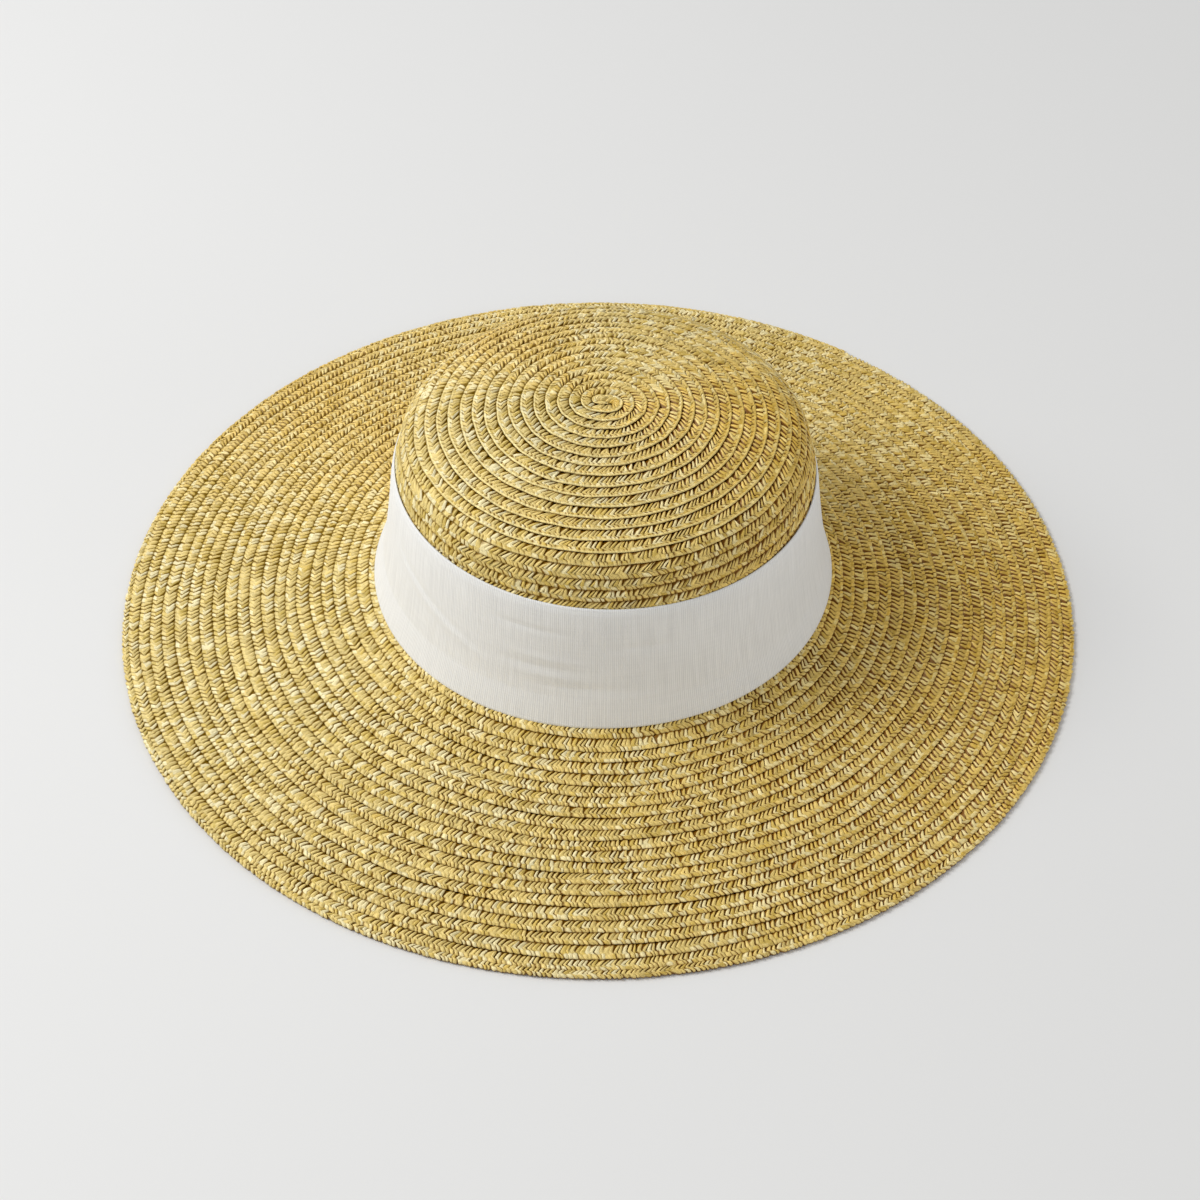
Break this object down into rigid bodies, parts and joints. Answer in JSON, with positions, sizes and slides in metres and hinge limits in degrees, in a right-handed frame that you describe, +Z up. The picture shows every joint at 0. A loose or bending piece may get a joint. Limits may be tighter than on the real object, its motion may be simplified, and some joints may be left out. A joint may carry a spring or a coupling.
{
  "type": "wide brim sun hat",
  "caption": "Round sun hat sewn from a spiral of straw plait, with a domed crown, a wide gently sloping brim and a plain cloth ribbon band.",
  "frame": {"origin": "centre of the rim's circle on the surface that the hat lies on", "axes": "+Z up through the crown, -Y towards the front as pictured, +X to the picture's right"},
  "size_m": [0.416, 0.416, 0.1129],
  "materials": {
    "straw": "natural golden straw plait, low sheen",
    "ribbon": "plain white woven cloth, matte"
  },
  "bodies": {
    "root": {"crown": "straw", "brim": "straw", "ribbon_band": "ribbon"}
  },
  "joints": []
}
